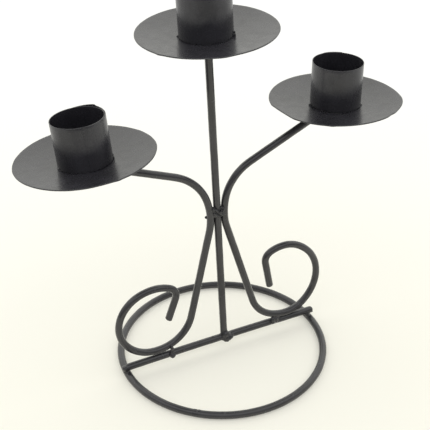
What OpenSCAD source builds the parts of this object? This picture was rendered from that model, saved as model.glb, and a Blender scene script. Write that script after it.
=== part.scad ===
// Three-cup wire candle stand for a table top, all lengths in millimetres.
// A wire ring stands on the table with a crossbar welded over it.  A leaning upright
// and two scrolled arm wires rise from the crossbar and touch at the waist, and each
// of the three wires carries a sheet-metal drip pan with a rolled candle cup on it.
// +X runs along the crossbar to the right cup, +Y to the back and +Z up.  The origin is
// the centre of the ring on the table.

/* [Wire] */
// Diameter of the wire of the arms, the upright and the crossbar
wire_d = 3.6; // [2.5:0.1:5]
// Diameter of the wire of the base ring
ring_wire_d = 3.7; // [2.5:0.1:6]
// Gap between two pieces that a weld holds together
fit_gap = 0.1; // [0.05:0.05:0.3]

/* [Base] */
// Diameter of the base ring, measured at the middle of its wire
ring_d = 104; // [90:1:160]
// Distance of the crossbar behind the centre of the ring
bar_back = 1.2; // [-5:0.1:5]
// Length of the crossbar past the middle of the ring wire on the left
bar_over_left = 1.5; // [0:0.1:6]
// Length of the crossbar past the middle of the ring wire on the right
bar_over_right = 2.2; // [0:0.1:6]
// Height by which the middle of the crossbar arches above its ends
bar_bow = 0.5; // [0.1:0.1:3]

/* [Upright] */
// Distance of the foot of the upright to the right of the centre of the ring
foot_right = 1.8; // [-8:0.1:8]
// Length of the upright from the crossbar to the centre pan
upright_len = 163.1; // [120:0.1:260]
// Angle by which the upright leans to the left
lean_left = 2; // [-4:0.1:4]
// Angle by which the upright leans to the back
lean_back = 1.5; // [-4:0.1:4]

/* [Arm wires] */
// Height of the waist, where the arm wires touch the upright, above the crossbar
waist_h = 73.4; // [60:0.2:90]
// Angle by which the plane of the arm wires is turned about the upright
arm_twist = 1; // [-4:0.1:4]
// Radius of the slack bend just above the waist
neck_r = 34; // [20:1:60]
// Angle of the slack bend just above the waist
neck_a = 11; // [5:1:20]
// Radius of the bend just below the waist
waist_r = 26; // [12:1:60]
// Radius of the bend at the foot of each arm wire
heel_r = 19.5; // [10:0.5:26]
// Radius of the small hook that ends each scroll
hook_r = 5.2; // [3:0.1:8]
// Straight length that the bender leaves between one bend and the next
land = 0.8; // [0.5:0.1:3]

/* [Left arm wire] */
// Angle at which the left leg spreads below the waist
left_splay = 14.8; // [8:0.1:22]
// Radius of the left shoulder bend
left_shoulder_r = 27; // [18:0.1:40]
// Angle of the left shoulder bend
left_shoulder_a = 55.8; // [40:0.1:68]
// Straight length of the left arm wire from the shoulder to its end under the pan
left_reach = 45.53; // [35:0.01:70]
// Radii of the three bends of the left scroll, from the foot to the hook
left_scroll_r = [18, 18.3, 19]; // [10:0.1:40]
// Angles of the three bends of the left scroll
left_scroll_a = [48.9, 118.8, 36.4]; // [20:0.1:120]
// Angle of the left hook
left_hook_a = 86.6; // [30:0.1:110]
// Straight length at the end of the left hook
left_tail = 12.4; // [4:0.1:16]

/* [Right arm wire] */
// Angle at which the right leg spreads below the waist
right_splay = 13.9; // [8:0.1:22]
// Radius of the right shoulder bend
right_shoulder_r = 23.8; // [18:0.1:40]
// Angle of the right shoulder bend
right_shoulder_a = 56.6; // [40:0.1:68]
// Straight length of the right arm wire from the shoulder to its end under the pan
right_reach = 45.38; // [35:0.01:70]
// Radii of the three bends of the right scroll, from the foot to the hook
right_scroll_r = [15.1, 22.3, 16.4]; // [10:0.1:40]
// Angles of the three bends of the right scroll
right_scroll_a = [47.1, 97.9, 58.8]; // [20:0.1:120]
// Angle of the right hook
right_hook_a = 76.8; // [30:0.1:110]
// Straight length at the end of the right hook
right_tail = 15.1; // [4:0.1:18]

/* [Pans] */
// Diameter of the drip pans
pan_d = 62.4; // [45:0.1:80]
// Thickness of the sheet of the drip pans
pan_t = 0.6; // [0.4:0.1:2]
// Depth to which the drip pans are dished
pan_dish = 2.6; // [0.5:0.1:6]
// Angle by which the outer side of the left pan hangs down
left_droop = 1.8; // [-6:0.1:8]
// Angle by which the back of the left pan hangs down
left_back_tilt = 4.2; // [-6:0.1:8]
// Distance of the middle of the left pan short of the end of its wire
left_set = 0.97; // [-8:0.01:10]
// Angle by which the outer side of the right pan hangs down
right_droop = 3.1; // [-6:0.1:8]
// Angle by which the back of the right pan hangs down
right_back_tilt = 1.4; // [-6:0.1:8]
// Distance of the middle of the right pan short of the end of its wire
right_set = -2.77; // [-8:0.01:10]
// Angle by which the back of the centre pan hangs down
center_back_tilt = 0.5; // [-6:0.1:8]
// Distance of the middle of the centre pan to the left of its wire
center_left = 0.3; // [-4:0.1:4]
// Distance of the middles of the three pans in front of their wires
pan_forward = 0.4; // [-4:0.1:4]
// Depth of the straight shear cut that the right pan has on its rim
shear_depth = 1.1; // [0.1:0.1:2]
// Direction of the shear cut on the right pan, from +X
shear_a = 185; // [0:1:359]

/* [Cups] */
// Inner diameter of the candle cups
bore_d = 23.1; // [18:0.1:30]
// Thickness of the sheet of the candle cups
cup_t = 0.5; // [0.3:0.05:1]
// Height of the candle cups
cup_h = 20.7; // [12:0.1:40]
// Angle round the cup over which the ends of its rolled strip lap
lap_a = 40; // [15:1:80]
// Amount by which the lapped end of the strip stands above the rim
lap_rise = 0.1; // [0.05:0.05:1]
// The same on the left cup, whose strip was rolled askew
left_lap_rise = 0.45; // [0.05:0.05:1]

/* [Welds] */
// Radius of a weld bead between two wires
bead_r = 2.2; // [1.8:0.1:3]
// Distance of a scroll's weld inward of the point where its heel touches the crossbar
weld_in = 6.5; // [0:0.5:8]
// Radius of a weld bead at the foot of a candle cup
tack_r = 0.8; // [0.6:0.1:1.5]

/* [Hidden] */
$fn = 64;
// Facets round a bend, so that short arcs stay smooth
bend_fn = 160;
black = [0.11, 0.11, 0.12];
weld_black = [0.15, 0.15, 0.16];

ring_r = ring_d / 2;
wire_r = wire_d / 2;
ring_wire_r = ring_wire_d / 2;
// Distance between the middles of two thin wires that are welded side by side
wire_pitch = wire_d + fit_gap;
// Half the length of the ring's chord under the crossbar
half_chord = sqrt(ring_r * ring_r - bar_back * bar_back);
// Height of the crossbar at its middle, with its ends lying on the ring
bar_z = ring_wire_d + fit_gap + wire_r + bar_bow;
// Radius to which the crossbar is arched
bar_arch_r = (half_chord * half_chord + bar_bow * bar_bow) / (2 * bar_bow);
// Length of the stretch of crossbar that a weld is cut back by
stretch = 16;
// Distance of the upright's cut end from the middle of the crossbar
foot_lift = wire_r + 2 * fit_gap;
// Distance of the centre pan's lower face from the middle of the crossbar, up the upright
crown = foot_lift + upright_len + fit_gap;

cup_r = bore_d / 2 + cup_t;
// Clearance between a cup's foot and its pan, which the tack welds bridge
seat_gap = 1.6 * fit_gap;
// Places of the cups on their pans, and the tilt of the right cup
left_cup_at = [-0.3, -1.2];
center_cup_at = [-0.5, -0.1];
right_cup_at = [-0.5, -1.7];
right_cup_tilt = [1, 0.7];
// Directions of the cut ends of the rolled strips, from +X
left_lap = 33;
center_lap = 75;
right_lap = 50;
// Directions of the two tack welds at the foot of each cup, from +X
left_tacks = [183, 340];
center_tacks = [157, 323];
right_tacks = [162, 325];

// ---- Bending charts ----------------------------------------------------------------
// A pose is [x, y, heading].  A row of a chart is [straight length, bend radius, bend
// angle], where a positive angle turns to the left.

function ahead(p, len) = [p[0] + len * cos(p[2]), p[1] + len * sin(p[2]), p[2]];

function bent(p, r, a) =
    let (s = sign(a), h = p[2])
    [p[0] - s * r * (sin(h) - sin(h + a)), p[1] + s * r * (cos(h) - cos(h + a)), h + a];

function after_row(p, row) = bent(ahead(p, row[0]), row[1], row[2]);

// Pose after the first n rows of a chart
function pose_after(p, rows, n) = n < 1 ? p : after_row(pose_after(p, rows, n - 1), rows[n - 1]);

function chart_end(p, rows) = pose_after(p, rows, len(rows));

// The arm wire kisses the upright at the waist, and its two charts start there
waist_up = [wire_pitch, waist_h, 90];
waist_down = [wire_pitch, waist_h, -90];

// Wherever a side is asked for, it is -1 on the left and 1 on the right.
// Up from the waist: neck, shoulder and the straight reach to the pan
function arm_up(side) =
    let (left = side < 0)
    [[0, neck_r, -neck_a],
     [land, left ? left_shoulder_r : right_shoulder_r,
      -(left ? left_shoulder_a : right_shoulder_a)],
     [left ? left_reach : right_reach, 0, 0]];

// Centre of the crossbar's arch in the leaning plane of the arm wires, outwards and up
function arch_centre(side) =
    [-side * (foot_right * cos(lean_left) + bar_arch_r * sin(lean_left)),
     foot_right * sin(lean_left) - bar_arch_r * cos(lean_left)];

// Straight length of the leg that brings the heel bend down onto the crossbar, from pose p:
// the heel's centre then lies both radii and a wire's pitch away from the arch's centre
function leg_len(side, p) =
    let (
        to = [p[0] - heel_r * sin(p[2]), p[1] + heel_r * cos(p[2])] - arch_centre(side),
        along = to * [cos(p[2]), sin(p[2])],
        apart = bar_arch_r + wire_pitch + heel_r
    )
    -along - sqrt(along * along - to * to + apart * apart);

// Angle of the heel bend after the leg, up to where it touches the crossbar
function heel_a(side, p) =
    let (
        foot = ahead(p, leg_len(side, p)),
        to = [foot[0] - heel_r * sin(p[2]), foot[1] + heel_r * cos(p[2])] - arch_centre(side)
    )
    -atan2(to[0], to[1]) - p[2];

// Down from the waist: leg, heel on the crossbar, three bends of the scroll, hook and tail
function arm_down(side) =
    let (
        left = side < 0,
        r = left ? left_scroll_r : right_scroll_r,
        a = left ? left_scroll_a : right_scroll_a,
        waist = [land, waist_r, left ? left_splay : right_splay],
        below = after_row(waist_down, waist)
    )
    [waist,
     [leg_len(side, below), heel_r, heel_a(side, below)],
     [land, r[0], a[0]],
     [land, r[1], a[1]],
     [land, r[2], a[2]],
     [land, hook_r, left ? left_hook_a : right_hook_a],
     [left ? left_tail : right_tail, 0, 0]];

// Distance from the upright's foot to where a heel touches the crossbar, two rows down
function heel_out(side) =
    let (p = pose_after(waist_down, arm_down(side), 2))
    sqrt(pow(norm([p[0], p[1]]), 2) - pow(wire_pitch, 2));

// Height of the crossbar's middle line at a distance x from its middle
function bar_height(x) = bar_z - bar_arch_r + sqrt(bar_arch_r * bar_arch_r - x * x);

// One row of a chart: a straight length and the bend after it.  The wire is a hair
// thinner in its bends, and each bend reaches a little way into the straights beside it.
module wire_row(p, row) {
    thinning = 0.02;
    tuck = 0.2;
    centre = ahead(p, row[0]);
    side = sign(row[2]);
    if (row[0] > 0)
        translate([p[0], p[1], 0]) rotate([0, 90, p[2]]) cylinder(d = wire_d, h = row[0]);
    if (row[1] > 0) {
        tuck_a = tuck / row[1] * 180 / PI;
        translate([centre[0] - side * row[1] * sin(p[2]), centre[1] + side * row[1] * cos(p[2]), 0])
            rotate([0, 0, p[2] - side * 90 + min(0, row[2]) - tuck_a])
                rotate_extrude(angle = abs(row[2]) + 2 * tuck_a, $fn = bend_fn)
                    translate([row[1], 0]) circle(d = wire_d - thinning, $fn = 48);
    }
}

// Rows first to last of a chart, drawn in the XY plane
module wire_rows(p, rows, first, last) {
    for (i = [first:last]) wire_row(pose_after(p, rows, i), rows[i]);
}

// ---- Frames ------------------------------------------------------------------------

// Stands on the middle of the crossbar at the foot, with Z up the leaning upright
module upright_frame() {
    translate([foot_right, bar_back, bar_z]) rotate([-lean_back, -lean_left, 0]) children();
}

// The same, turned so that the arm wires lie in its XZ plane
module arm_frame() {
    upright_frame() rotate([0, 0, -arm_twist]) children();
}

function pan_droop(side) = side < 0 ? left_droop : right_droop;
function pan_back(side) = side < 0 ? left_back_tilt : right_back_tilt;
function pan_set(side) = side < 0 ? left_set : right_set;

// Middle of the wire's cut end under an outer pan, in the arm frame
function arm_tip(side) =
    let (p = chart_end(waist_up, arm_up(side)))
    [side * p[0], 0, p[1]];

// Direction in which that end points
function arm_aim(side) =
    let (p = chart_end(waist_up, arm_up(side)))
    [side * cos(p[2]), 0, sin(p[2])];

// Upward normal and outward direction of an outer pan
function pan_normal(side) =
    let (turn = side * pan_droop(side), back = pan_back(side))
    [cos(back) * sin(turn), sin(back), cos(back) * cos(turn)];
function pan_out(side) =
    let (turn = side * pan_droop(side))
    [side * cos(turn), 0, -side * sin(turn)];

// Height of the rim of the wire's cut end above its middle, square to the pan
function tip_rise(side) = wire_r * sqrt(1 - pow(pan_normal(side) * arm_aim(side), 2));

// Middle of the pan's lower face: the pan rests on the rim of the wire's cut end
function pan_at(side) =
    arm_tip(side) + pan_normal(side) * (tip_rise(side) + fit_gap) - pan_out(side) * pan_set(side);

// Stands on the middle of an outer pan's lower face
module pan_frame(side) {
    arm_frame() translate(pan_at(side) - [0, pan_forward, 0])
        rotate([-pan_back(side), side * pan_droop(side), 0]) children();
}

module center_pan_frame() {
    upright_frame() translate([-center_left, -pan_forward, crown])
        rotate([-center_back_tilt, 0, 0]) children();
}

// Height of a pan's lower face at a distance r from its middle
function sag(r) = pan_dish * pow(2 * r / pan_d, 2);

// Lift that keeps the low side of a tilted cup clear of its dished pan
function cup_lift(at, tilt) =
    sag(cup_r + cup_t + norm(at)) + pan_t + seat_gap + (cup_r + cup_t) * sin(norm(tilt));

module cup_frame(at, tilt = [0, 0]) {
    translate([at[0], at[1], cup_lift(at, tilt)]) rotate([tilt[0], tilt[1], 0]) children();
}

// ---- Base --------------------------------------------------------------------------

module ring_wire(d) {
    translate([0, 0, ring_wire_r])
        rotate_extrude($fn = 2 * bend_fn) translate([ring_r, 0]) circle(d = d, $fn = 48);
}

module base_ring() {
    color(black) ring_wire(ring_wire_d);
}

// Butt weld that closes the ring, dressed flush on the side that stands on the table
module ring_seam_weld() {
    seam_a = 229;
    seam_w = 2.4;
    bulge = 0.3;
    span = seam_w / ring_r * 180 / PI;
    color(weld_black)
        intersection() {
            translate([0, 0, ring_wire_r]) rotate([0, 0, seam_a])
                rotate_extrude(angle = span, $fn = 2 * bend_fn) translate([ring_r, 0])
                    difference() {
                        circle(r = ring_wire_r + bulge);
                        circle(r = ring_wire_r);
                    }
            translate([-ring_d, -ring_d, ring_wire_r * 0.6])
                cube([2 * ring_d, 2 * ring_d, 2 * ring_wire_d]);
        }
}

// A straight wire, arched a little by its welding
module crossbar() {
    from_a = -(half_chord + bar_over_left) / bar_arch_r * 180 / PI;
    to_a = (half_chord + bar_over_right) / bar_arch_r * 180 / PI;
    color(black)
        translate([0, bar_back, bar_z - bar_arch_r]) rotate([90, 0, 0]) rotate([0, 0, 90 - to_a])
            rotate_extrude(angle = to_a - from_a, $fn = 12 * bend_fn)
                translate([bar_arch_r, 0]) circle(d = wire_d, $fn = 48);
}

// ---- Upright and arms --------------------------------------------------------------

module upright() {
    color(black) upright_frame() translate([0, 0, foot_lift]) cylinder(d = wire_d, h = upright_len);
}

// Stands the XY plane of the charts up in the plane of the arm wires
module arm_plane(side) {
    arm_frame() mirror([side < 0 ? 1 : 0, 0, 0]) rotate([90, 0, 0]) children();
}

// The waist, the leg and the reach alone, which are the rows that carry welds
module waist_wire(side) {
    arm_plane(side) {
        wire_rows(waist_down, arm_down(side), 0, 0);
        wire_rows(waist_up, arm_up(side), 0, 0);
    }
}

module leg_wire(side) {
    arm_plane(side) wire_rows(waist_down, arm_down(side), 1, 1);
}

module reach_wire(side) {
    arm_plane(side) wire_rows(waist_up, arm_up(side), 2, 2);
}

module arm_wire(side) {
    up = arm_up(side);
    down = arm_down(side);
    color(black) arm_plane(side) {
        wire_rows(waist_up, up, 0, len(up) - 1);
        wire_rows(waist_down, down, 0, len(down) - 1);
    }
}

module left_arm() {
    arm_wire(-1);
}

module right_arm() {
    arm_wire(1);
}

// ---- Pans --------------------------------------------------------------------------

// A shallow dish of sheet metal with a flat middle: its section is turned round the axis
module pan_disc() {
    steps = 14;
    r = [for (i = [0:steps]) pan_d / 2 * i / steps];
    z = [for (i = [0:steps]) sag(r[max(i, 1)])];
    rotate_extrude($fn = 128)
        polygon(concat([for (i = [0:steps]) [r[i], z[i]]],
                       [for (i = [steps:-1:0]) [r[i], z[i] + pan_t]]));
}

module left_pan() {
    color(black) pan_frame(-1) pan_disc();
}

module center_pan() {
    color(black) center_pan_frame() pan_disc();
}

// The right pan lost a sliver of its rim to a straight cut of the shears
module right_pan() {
    color(black) pan_frame(1)
        difference() {
            pan_disc();
            rotate([0, 0, shear_a]) translate([pan_d / 2 - shear_depth, -pan_d / 2, -pan_t])
                cube([pan_d, pan_d, 2 * pan_dish + 3 * pan_t]);
        }
}

// ---- Cups --------------------------------------------------------------------------

// Part of a plane from direction 0 to direction a, large enough to cut a cup's wall
module sector(a) {
    far = 2 * cup_r;
    polygon([[0, 0], [far, 0], [far * cos(a / 2), far * sin(a / 2)], [far * cos(a), far * sin(a)]]);
}

// Corners of the joggle, where the strip climbs over its own inner end in an angle a.  It
// starts an angle back inside the lapped band, so that the two are one solid.
function joggle(a, back) =
    let (inside = cup_r - cup_t / 2, top = cup_r + 0.9 * cup_t, low = cup_r - 0.2 * cup_t)
    [inside * dir(lap_a - back), top * dir(lap_a - back), top * dir(lap_a + back / 2),
     low * dir(lap_a + a), inside * dir(lap_a + a)];

function dir(a) = [cos(a), sin(a)];

// The band in which the strip's outer end lies over the inner one.  Its upper edge climbs
// from the joggle to stand above the rim by an amount rise at the cut end.
module lap_band(lap_at, rise) {
    climb_a = atan(rise / (cup_r * sin(lap_a)));
    joggle_a = 7;
    joggle_back = 2;
    far = 4 * cup_r;
    rotate([0, 0, lap_at])
        difference() {
            linear_extrude(cup_h + 2 * rise) {
                intersection() {
                    difference() {
                        circle(r = cup_r + cup_t, $fn = 96);
                        circle(r = cup_r - cup_t / 2, $fn = 96);
                    }
                    sector(lap_a);
                }
                polygon(joggle(joggle_a, joggle_back));
            }
            translate([0, 0, cup_h]) rotate([0, 0, lap_a]) rotate([-climb_a, 0, 0])
                translate([-far / 2, -far / 2, 0]) cube([far, far, cup_h]);
        }
}

// A strip rolled into a tube
module rolled_cup(lap_at, rise) {
    difference() {
        cylinder(r = cup_r, h = cup_h, $fn = 96);
        translate([0, 0, -cup_h]) cylinder(d = bore_d, h = 3 * cup_h, $fn = 96);
    }
    lap_band(lap_at, rise);
}

module left_cup() {
    color(black) pan_frame(-1) cup_frame(left_cup_at) rolled_cup(left_lap, left_lap_rise);
}

module center_cup() {
    color(black) center_pan_frame() cup_frame(center_cup_at)
        rolled_cup(center_lap, lap_rise);
}

module right_cup() {
    color(black) pan_frame(1) cup_frame(right_cup_at, right_cup_tilt)
        rolled_cup(right_lap, lap_rise);
}

// ---- Welds -------------------------------------------------------------------------
// Each weld is a few round beads with the pieces that it joins cut away, so that it
// fits them face to face.  A bead is [x, y, z, radius].

module beads(list) {
    for (b = list) translate([b[0], b[1], b[2]]) sphere(r = b[3], $fn = 96);
}

// A short straight stretch of the crossbar round x, for the welds that sit on it
module bar_near(x) {
    translate([x, bar_back, bar_height(x)]) rotate([0, 90 + asin(x / bar_arch_r), 0])
        cylinder(d = wire_d, h = stretch, center = true, $fn = 96);
}

// End of the crossbar on the ring, with the bead a distance past the middle of the ring's wire
module bar_weld(side, past) {
    bar_end = half_chord + (side < 0 ? bar_over_left : bar_over_right);
    color(weld_black)
        difference() {
            beads([[side * (half_chord + past), bar_back - wire_r * 0.5,
                    ring_wire_d + wire_r * 0.2, bead_r * 0.7]]);
            bar_near(side * (bar_end - stretch / 2));
            base_ring();
        }
}

module left_bar_weld() {
    bar_weld(-1, wire_r * 0.6);
}

module right_bar_weld() {
    bar_weld(1, -wire_r * 0.6);
}

// Foot of the upright: a thick bead that hangs over the front of the crossbar
module foot_weld() {
    color(weld_black)
        difference() {
            beads([[foot_right + wire_r * 0.4, bar_back - wire_r * 0.7, bar_z - wire_r * 0.3,
                    bead_r],
                   [foot_right + wire_r * 1.6, bar_back - wire_r * 0.8, bar_z - wire_r * 0.1,
                    bead_r * 0.75],
                   [foot_right + wire_r * 0.1, bar_back - wire_r * 0.6, bar_z + wire_r * 1.2,
                    bead_r * 0.85]]);
            bar_near(foot_right);
            upright();
        }
}

// Foot of a scroll: the weld fills the wedge between the leg and the crossbar
module scroll_weld(side) {
    at = side * (heel_out(side) - weld_in) + foot_right;
    hang = side < 0 ? wire_r * 0.1 : wire_r * 0.5;
    color(weld_black)
        difference() {
            beads([[at, bar_back - wire_r * 0.7, bar_height(at) + wire_pitch * 0.75,
                    bead_r * 0.9],
                   [at + side * bead_r * 0.2, bar_back - wire_r * 0.8,
                    bar_height(at) + hang, bead_r * 0.8]]);
            bar_near(at);
            leg_wire(side);
        }
}

module left_scroll_weld() {
    scroll_weld(-1);
}

module right_scroll_weld() {
    scroll_weld(1);
}

// Waist: the weld fills the groove between the arm wire and the upright at the front
module waist_weld(side) {
    climb = side * 1.1;
    color(weld_black)
        difference() {
            arm_frame()
                beads([[side * wire_pitch / 2, -wire_r * 0.8, waist_h + climb, bead_r * 0.85],
                       [side * wire_pitch * 0.4, -wire_r * 0.7, waist_h + climb - bead_r * 0.8,
                        bead_r * 0.75]]);
            upright();
            waist_wire(side);
        }
}

module left_waist_weld() {
    waist_weld(-1);
}

module right_waist_weld() {
    waist_weld(1);
}

// End of an arm wire under its pan
module arm_pan_weld(side) {
    color(weld_black)
        difference() {
            arm_frame() translate(arm_tip(side) + 0.5 * wire_r * pan_normal(side)) sphere(r = bead_r);
            reach_wire(side);
            pan_frame(side) cylinder(d = pan_d, h = pan_t + bead_r);
        }
}

module left_pan_weld() {
    arm_pan_weld(-1);
}

module right_pan_weld() {
    arm_pan_weld(1);
}

// Collar of weld round the top of the upright, under the centre pan
module center_pan_weld() {
    color(weld_black)
        difference() {
            upright_frame() translate([0, 0, crown - bead_r * 0.5]) sphere(r = bead_r * 1.2);
            upright();
            center_pan_frame() cylinder(d = pan_d, h = pan_t + bead_r * 2);
        }
}

// What lies under a pan's upper face round the foot of a cup: a cone that grazes the dish there
module under_foot(out) {
    slope = 2 * sag(out) / out;
    low = pan_t - sag(out);
    rotate_extrude($fn = 128)
        polygon([[0, -2 * pan_dish], [pan_d / 2, -2 * pan_dish], [pan_d / 2, low + slope * pan_d / 2],
                 [0, low]]);
}

// Tack welds at the foot of a cup, in the corner between its wall and the pan
module cup_tacks(at, places, lap_at, tilt = [0, 0]) {
    out = cup_r + tack_r * 0.3;
    difference() {
        for (a = places)
            translate([at[0] + out * cos(a), at[1] + out * sin(a), sag(out) + pan_t + tack_r * 0.3])
                sphere(r = tack_r);
        under_foot(out);
        cup_frame(at, tilt) {
            translate([0, 0, -2 * tack_r]) cylinder(r = cup_r, h = cup_h, $fn = 96);
            lap_band(lap_at, lap_rise);
        }
    }
}

module left_cup_tacks() {
    color(weld_black) pan_frame(-1) cup_tacks(left_cup_at, left_tacks, left_lap);
}

module center_cup_tacks() {
    color(weld_black) center_pan_frame() cup_tacks(center_cup_at, center_tacks, center_lap);
}

module right_cup_tacks() {
    color(weld_black)
        pan_frame(1) cup_tacks(right_cup_at, right_tacks, right_lap, right_cup_tilt);
}

base_ring();
ring_seam_weld();
crossbar();
upright();
left_arm();
right_arm();
left_pan();
center_pan();
right_pan();
left_cup();
center_cup();
right_cup();
left_bar_weld();
right_bar_weld();
foot_weld();
left_scroll_weld();
right_scroll_weld();
left_waist_weld();
right_waist_weld();
left_pan_weld();
center_pan_weld();
right_pan_weld();
left_cup_tacks();
center_cup_tacks();
right_cup_tacks();
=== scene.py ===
"""Looks of the three-cup wire candle stand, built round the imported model.

Every surface is worked out with numpy in millimetres, from the sizes that the model has, and
goes into its mesh in metres.  +X runs to the right cup, +Y to the back and +Z up.
"""
from math import atan2, cos, degrees, hypot, pi, radians, sin, sqrt

import bpy
import numpy as np
from mathutils import Matrix


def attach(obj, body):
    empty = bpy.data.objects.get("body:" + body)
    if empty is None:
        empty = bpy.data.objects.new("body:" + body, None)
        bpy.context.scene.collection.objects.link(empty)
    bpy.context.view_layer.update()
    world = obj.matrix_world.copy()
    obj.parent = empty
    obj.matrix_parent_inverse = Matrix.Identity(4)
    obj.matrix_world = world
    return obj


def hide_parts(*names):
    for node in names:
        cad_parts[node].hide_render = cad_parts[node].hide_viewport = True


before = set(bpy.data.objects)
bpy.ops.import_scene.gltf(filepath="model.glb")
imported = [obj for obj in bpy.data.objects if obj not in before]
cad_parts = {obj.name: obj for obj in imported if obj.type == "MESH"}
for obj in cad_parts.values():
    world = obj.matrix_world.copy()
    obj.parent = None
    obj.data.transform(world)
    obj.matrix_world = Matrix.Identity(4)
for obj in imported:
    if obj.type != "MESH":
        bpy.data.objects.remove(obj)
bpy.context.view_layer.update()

# ---- Sizes of the model, in millimetres and degrees ----------------------------------
WIRE_R = 1.8
RING_WIRE_R = 1.85
FIT_GAP, SEAT_GAP = 0.1, 0.16
RING_R = 52.0
LINE_STEP = 0.05    # distance from point to point of a finely drawn centre line
BEND_EASE = 0.9     # length over which a bend fades into a straight
BAR_BACK, BAR_OVER, BAR_BOW = 1.2, {-1: 1.5, 1: 2.2}, 0.5
FOOT_RIGHT, UPRIGHT_LEN = 1.8, 163.1
LEAN_LEFT, LEAN_BACK = 2.0, 1.5
WAIST_H, ARM_TWIST = 73.4, 1.0
NECK, WAIST_R, HEEL_R, HOOK_R, LAND = (34.0, 11.0), 26.0, 19.5, 5.2, 0.8
# On each side: splay, shoulder radius and angle, reach, scroll radii and angles, hook, tail
ARM = {
    -1: dict(splay=14.8, shoulder=(27.0, 55.8), reach=45.53, scroll_r=(18.0, 18.3, 19.0),
             scroll_a=(48.9, 118.8, 36.4), hook_a=86.6, tail=12.4),
    1: dict(splay=13.9, shoulder=(23.8, 56.6), reach=45.38, scroll_r=(15.1, 22.3, 16.4),
            scroll_a=(47.1, 97.9, 58.8), hook_a=76.8, tail=15.1),
}
PAN_R, PAN_T, PAN_DISH, PAN_FORWARD = 31.2, 0.6, 2.6, 0.4
# On each side: droop of the outer side, droop of the back, and set-back on the wire
PAN = {-1: (1.8, 4.2, 0.97), 1: (3.1, 1.4, -2.77)}
# In the middle: droop of the back, and distance to the left of the upright's end
CENTER_PAN = (0.5, 0.3)
SHEAR_DEPTH, SHEAR_A = 1.1, 185.0
BORE_R, CUP_T, CUP_H = 11.55, 0.5, 20.7
JOGGLE_A = 9.0      # angle over which a cup's strip steps down from its lap
BEAD_R, SEAM_A, SEAM_W = 2.2, 229.0, 2.4
CUP_R = BORE_R + CUP_T
WIRE_PITCH = 2 * WIRE_R + FIT_GAP
HALF_CHORD = sqrt(RING_R ** 2 - BAR_BACK ** 2)
BAR_Z = 2 * RING_WIRE_R + FIT_GAP + WIRE_R + BAR_BOW
BAR_ARCH_R = (HALF_CHORD ** 2 + BAR_BOW ** 2) / (2 * BAR_BOW)
FOOT_LIFT = WIRE_R + 2 * FIT_GAP
CROWN = FOOT_LIFT + UPRIGHT_LEN + FIT_GAP
SIDES = ((-1, "left"), (1, "right"))
UP = np.array([0.0, 0.0, 1.0])
# Each cup: place on its pan, tilt, and its two tacks (direction, size)
CUP = {
    "left": ((-0.3, -1.2), (0.0, 0.0), ((183.0, 0.5), (340.0, 1.0))),
    "center": ((-0.5, -0.1), (0.0, 0.0), ((157.0, 0.6), (323.0, 1.2))),
    "right": ((-0.5, -1.7), (1.0, 0.7), ((162.0, 0.7), (325.0, 0.5))),
}
# Each cup's strip: direction of its outer cut end, lap, thickness, outside radius of the
# single layer, rise of the upper edge by the angle from the cut end, and bell-shaped changes
# (direction, width, amount) of the edge's height and of the radius
STRIP = {
    "left": (-96.0, 171.0, 0.40, 11.95,
             ((0, 0.3), (16, 0.12), (96, 0.1), (124, 0.5), (128, 0.95), (133, 0.92), (171, 0)),
             (), ((222, 5, -0.1),)),
    "center": (75.0, 40.0, 0.38, 12.05, ((0, 0.1), (40, 0)), (), ()),
    "right": (50.0, 40.0, 0.35, 12.05, ((0, 0.1), (40, 0)), ((249, 1.5, -0.2),), ((60, 8, -0.08),)),
}


# ---- Frames --------------------------------------------------------------------------

def move(x, y, z):
    """Frame moved by x, y, z."""
    m = np.eye(4)
    m[:3, 3] = (x, y, z)
    return m


def turn(x, y, z):
    """Frame turned about X, then Y, then Z, by angles in degrees."""
    m = np.eye(4)
    for angle, (i, j) in ((x, (1, 2)), (y, (2, 0)), (z, (0, 1))):
        c, s = cos(radians(angle)), sin(radians(angle))
        step = np.eye(4)
        step[i, i], step[j, j], step[i, j], step[j, i] = c, c, -s, s
        m = step @ m
    return m


def flip_x(side):
    """Mirror of the left side in X; the right side stays."""
    return np.diag([side, 1.0, 1.0, 1.0])


def place(m, points):
    """Points of a frame's own space, taken to the space of the stand."""
    return np.asarray(points, float) @ m[:3, :3].T + m[:3, 3]


UPRIGHT_FRAME = move(FOOT_RIGHT, BAR_BACK, BAR_Z) @ turn(-LEAN_BACK, -LEAN_LEFT, 0)
ARM_FRAME = UPRIGHT_FRAME @ turn(0, 0, -ARM_TWIST)


def arm_plane(side):
    """Frame in whose XY plane an arm wire's bending chart is drawn."""
    return ARM_FRAME @ flip_x(side) @ turn(90, 0, 0)


# ---- Bending charts ------------------------------------------------------------------
# A pose is (x, y, heading) and a row is (straight length, bend radius, bend angle).

def after_row(pose, row):
    """Pose after a straight length along the heading and an arc that turns it."""
    (x, y, heading), (straight, radius, bend) = pose, row
    h, h2, s = radians(heading), radians(heading + bend), (1 if bend > 0 else -1)
    return (x + straight * cos(h) - s * radius * (sin(h) - sin(h2)),
            y + straight * sin(h) + s * radius * (cos(h) - cos(h2)), heading + bend)


def arm_up(side):
    """Chart from the waist up: neck, shoulder and reach."""
    a = ARM[side]
    return [(0, NECK[0], -NECK[1]), (LAND, a["shoulder"][0], -a["shoulder"][1]),
            (a["reach"], 0, 0)]


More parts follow.
